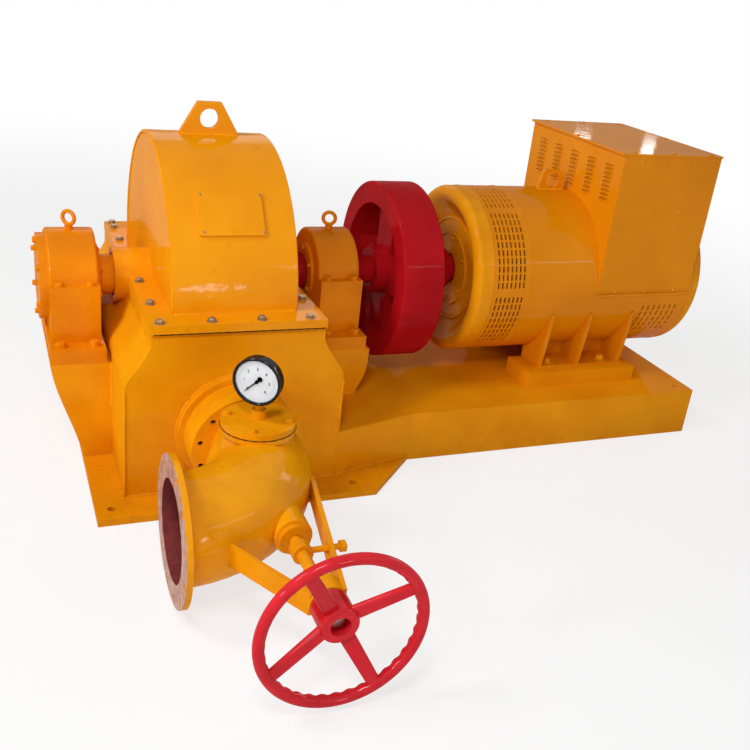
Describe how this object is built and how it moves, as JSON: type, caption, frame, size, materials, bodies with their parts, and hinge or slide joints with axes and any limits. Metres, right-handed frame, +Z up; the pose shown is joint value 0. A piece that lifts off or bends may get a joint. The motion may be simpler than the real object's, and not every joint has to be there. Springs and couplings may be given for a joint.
{
  "type": "hydroelectric generator set",
  "caption": "Horizontal impulse turbine with hood, spear valve, handwheel and gauge, driving a flywheel and a round generator with terminal housing on a welded base.",
  "frame": {"origin": "floor level under the shaft, at the centre of the turbine anchor bolts", "axes": "+X along the shaft towards the generator, -Y towards the valve handwheel, +Z up"},
  "size_m": [2.673, 2.379, 1.246],
  "materials": {
    "yellow_paint": "gloss enamel, yellow-orange",
    "flywheel_red": "gloss enamel, deep red",
    "handwheel_red": "gloss enamel, bright red",
    "bare_steel": "turned steel, lightly oiled",
    "gauge_black": "black enamel",
    "dial_white": "white enamel dial",
    "core_dark": "dark varnish"
  },
  "bodies": {
    "frame": {"base_end_plate": "yellow_paint", "base_rails": "yellow_paint", "base_top_plate": "yellow_paint", "base_wings": "yellow_paint", "bearing_bases": "yellow_paint", "bearing_caps": "yellow_paint", "bearing_covers": "yellow_paint", "bearing_eyes": "yellow_paint", "blank_plate": "yellow_paint", "bracket_left": "yellow_paint", "bracket_right": "yellow_paint", "case_back_plate": "yellow_paint", "case_front_plate": "yellow_paint", "case_sides": "yellow_paint", "elbow_body": "yellow_paint", "foot_plates": "yellow_paint", "foot_strips": "yellow_paint", "gauge_case": "gauge_black", "gauge_dial": "dial_white", "gauge_stem": "yellow_paint", "gen_barrel": "yellow_paint", "gen_bell": "yellow_paint", "gen_feet": "yellow_paint", "gen_lug": "yellow_paint", "gen_pads": "yellow_paint", "gland_ring": "yellow_paint", "hood_arch": "yellow_paint", "hood_ends": "yellow_paint", "hood_flange_bars": "yellow_paint", "hood_lug": "yellow_paint", "hood_side_bars": "yellow_paint", "inlet_flange": "yellow_paint", "neck_cover": "yellow_paint", "nozzle_stub": "yellow_paint", "rear_cover": "yellow_paint", "seal_boxes": "yellow_paint", "stator_core": "core_dark", "terminal_box": "yellow_paint", "terminal_lid": "yellow_paint", "yoke": "yellow_paint"},
    "rotor": {"main_shaft": "bare_steel", "shaft_sleeves": "flywheel_red", "flywheel": "flywheel_red", "coupling": "flywheel_red"},
    "handwheel": {"handwheel": "handwheel_red"},
    "spindle": {"spindle": "bare_steel", "guide_rod": "bare_steel"}
  },
  "joints": [
    {"name": "rotor_spin", "type": "hinge", "parent": "frame", "child": "rotor", "pos_m": [0, 0, 0.617], "axis": [1, 0, 0], "continuous": true},
    {"name": "handwheel_turn", "type": "hinge", "parent": "frame", "child": "handwheel", "pos_m": [0, -1.66, 0.25], "axis": [0, -1, 0], "range_deg": [0, 3600]},
    {"name": "spindle_slide", "type": "slide", "parent": "frame", "child": "spindle", "axis": [0, -1, 0], "range_m": [0, 0.0601]}
  ],
  "couplings": [
    {"joint": "spindle_slide", "follows": "handwheel_turn", "m_per_rad": 0.00095493}
  ]
}
